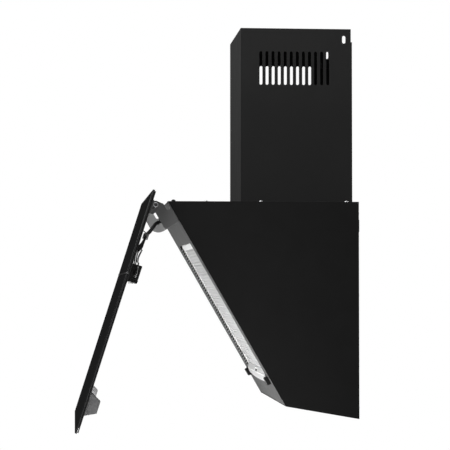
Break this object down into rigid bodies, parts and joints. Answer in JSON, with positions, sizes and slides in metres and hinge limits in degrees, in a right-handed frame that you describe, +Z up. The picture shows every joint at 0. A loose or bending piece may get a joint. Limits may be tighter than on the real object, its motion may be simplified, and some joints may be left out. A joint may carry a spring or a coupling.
{
  "type": "inclined wall-mounted cooker hood",
  "caption": "Inclined wall-hung cooker hood with a slotted chimney cover and a glass front panel swung open on top hinges to show the grease filter.",
  "frame": {"origin": "centre of the wall strip's rear face, which lies on the wall", "axes": "+Z up, +Y into the wall, -Y to the room, +X to the right as seen from the room"},
  "size_m": [0.6, 0.5692, 0.8161],
  "materials": {
    "body_black": "satin black paint",
    "chimney_black": "satin black paint",
    "liner_grey": "satin grey paint",
    "bracket_dark": "dark grey coated steel",
    "zinc_steel": "zinc plated sheet",
    "bright_steel": "bright plated",
    "filter_aluminium": "clean expanded aluminium",
    "panel_glass": "black back-coated toughened glass",
    "trim_aluminium": "satin anodised",
    "panel_backing": "dark grey paint",
    "black_plastic": "fine moulded texture",
    "grey_plastic": "moulded",
    "pale_plastic": "pale moulded",
    "blower_plastic": "moulded, slightly rough"
  },
  "bodies": {
    "hood": {"side_panel_right": "body_black", "side_panel_left": "body_black", "top_plate": "body_black", "bottom_panel": "body_black", "chimney_cover": "chimney_black", "chimney_bracket": "chimney_black", "front_frame": "liner_grey", "back_plate": "liner_grey", "hinge_bracket_right": "bracket_dark", "hinge_bracket_left": "bracket_dark", "wall_strip": "zinc_steel", "motor": "zinc_steel", "motor_bracket": "zinc_steel", "hanger_bolt_right": "bright_steel", "hanger_bolt_left": "bright_steel", "catch_right": "black_plastic", "catch_left": "black_plastic", "top_bumper_right": "black_plastic", "top_bumper_left": "black_plastic", "electronics_lid": "black_plastic", "mains_gland": "black_plastic", "lead_grommet": "black_plastic", "lead_cable": "black_plastic", "capacitor": "pale_plastic", "lamp_lens_right": "pale_plastic", "lamp_lens_left": "pale_plastic", "blower_scroll": "blower_plastic", "blower_cheek_right": "blower_plastic", "blower_cheek_left": "blower_plastic", "outlet_collar": "blower_plastic", "electronics_box": "blower_plastic", "lamp_housing_right": "blower_plastic", "lamp_housing_left": "blower_plastic"},
    "front_panel": {"glass_upper": "panel_glass", "glass_lower": "panel_glass", "panel_trim": "trim_aluminium", "panel_back_plate": "panel_backing", "panel_arm_right": "bracket_dark", "panel_arm_left": "bracket_dark", "hinge_pin_right": "bright_steel", "hinge_pin_left": "bright_steel", "catch_bracket_right": "zinc_steel", "catch_bracket_left": "zinc_steel", "control_box": "black_plastic", "control_box_cover": "black_plastic", "control_box_window": "pale_plastic", "lead_connector": "grey_plastic", "lead_sleeve": "black_plastic", "lead_wires": "pale_plastic"},
    "blower_wheel": {"impeller": "blower_plastic", "motor_shaft": "bright_steel"},
    "damper_front": {"damper_flap_front": "grey_plastic"},
    "damper_rear": {"damper_flap_rear": "grey_plastic"},
    "grease_filter": {"filter_frame": "filter_aluminium", "filter_mesh": "filter_aluminium"},
    "filter_catch": {"filter_latch": "zinc_steel"}
  },
  "joints": [
    {"name": "panel_hinge", "type": "hinge", "parent": "hood", "child": "front_panel", "pos_m": [0, -0.41066, 0.04014], "axis": [-1, 0, 0], "range_deg": [-47.6, 42.4], "deforming": ["lead_cable"]},
    {"name": "filter_tilt", "type": "hinge", "parent": "hood", "child": "grease_filter", "pos_m": [0, -0.33066, -0.03209], "axis": [-1, 0, 0], "range_deg": [0, 4]},
    {"name": "filter_latch_slide", "type": "slide", "parent": "grease_filter", "child": "filter_catch", "axis": [0, -0.4985, 0.8669], "range_m": [0, 0.005], "stiffness_N_per_m": 300},
    {"name": "blower_spin", "type": "hinge", "parent": "hood", "child": "blower_wheel", "pos_m": [0, -0.1, -0.086], "axis": [1, 0, 0], "continuous": true},
    {"name": "damper_front_swing", "type": "hinge", "parent": "hood", "child": "damper_front", "pos_m": [0, -0.1226, 0.072], "axis": [-1, 0, 0], "range_deg": [0, 80]},
    {"name": "damper_rear_swing", "type": "hinge", "parent": "hood", "child": "damper_rear", "pos_m": [0, -0.1174, 0.072], "axis": [1, 0, 0], "range_deg": [0, 80]}
  ]
}
